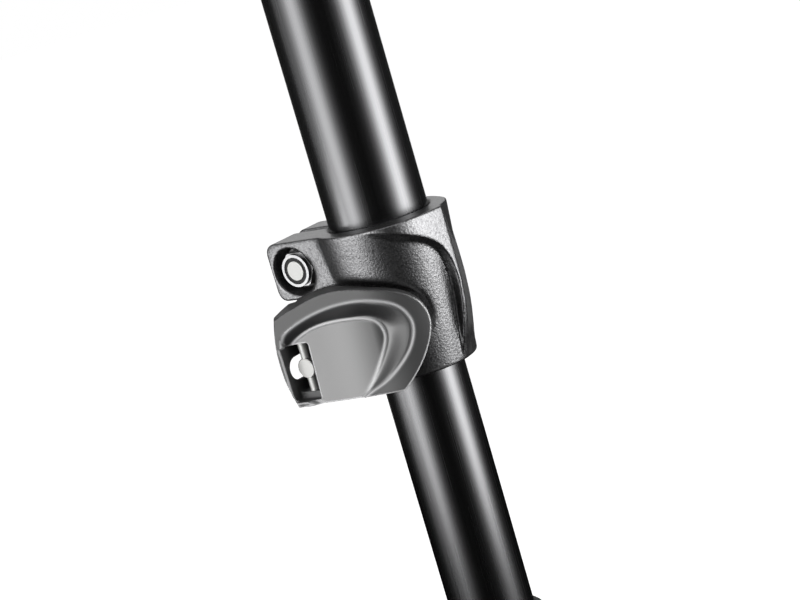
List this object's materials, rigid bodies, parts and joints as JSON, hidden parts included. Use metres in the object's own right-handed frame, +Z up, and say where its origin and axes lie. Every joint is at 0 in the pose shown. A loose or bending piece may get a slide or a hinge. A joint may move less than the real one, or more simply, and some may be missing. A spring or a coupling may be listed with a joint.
{
  "type": "telescopic leg with lever lock",
  "caption": "Telescopic camera-support leg: an aluminium tube slides in another through a split clamp collar with a cam lever, and stands on a rubber foot.",
  "frame": {"origin": "centre of the open top end of the upper tube, where the leg is held", "axes": "+Z runs up the leg, the front of the lock and the lever face -Y, the clamping ears point to -X"},
  "size_m": [0.0528, 0.0477, 0.3747],
  "materials": {
    "tube_black": "satin black anodised",
    "collar_black": "fine-grained black powder coat on die-cast aluminium",
    "lever_plastic": "satin dark grey moulded plastic",
    "nylon": "matte dark nylon",
    "black_steel": "glossy blackened steel",
    "bright_steel": "bright plated steel",
    "rubber": "matte black rubber"
  },
  "bodies": {
    "frame": {"upper_tube": "tube_black", "lock_collar": "collar_black", "collar_liner": "nylon", "cam_wear_plate": "nylon", "clamp_bolt": "bright_steel", "clamp_washer": "black_steel", "tension_nut": "black_steel", "tension_nut_insert": "nylon", "collar_bolt": "bright_steel", "collar_washer": "black_steel", "collar_nut": "black_steel", "collar_nut_insert": "nylon"},
    "lever": {"lock_lever": "lever_plastic", "lever_pin": "bright_steel"},
    "lower_leg": {"lower_tube": "tube_black", "guide_bush_front": "nylon", "guide_bush_rear": "nylon", "tube_end_cap": "nylon", "foot_plug": "nylon", "rubber_foot": "rubber", "foot_washer": "bright_steel", "foot_screw": "bright_steel"}
  },
  "joints": [
    {"name": "lever_swing", "type": "hinge", "parent": "frame", "child": "lever", "pos_m": [-0.0213, -0.023, -0.25], "axis": [0, 0, -1], "range_deg": [0, 90]},
    {"name": "tube_slide", "type": "slide", "parent": "frame", "child": "lower_leg", "axis": [0, 0, -1], "range_m": [-0.075, 0.09]}
  ]
}
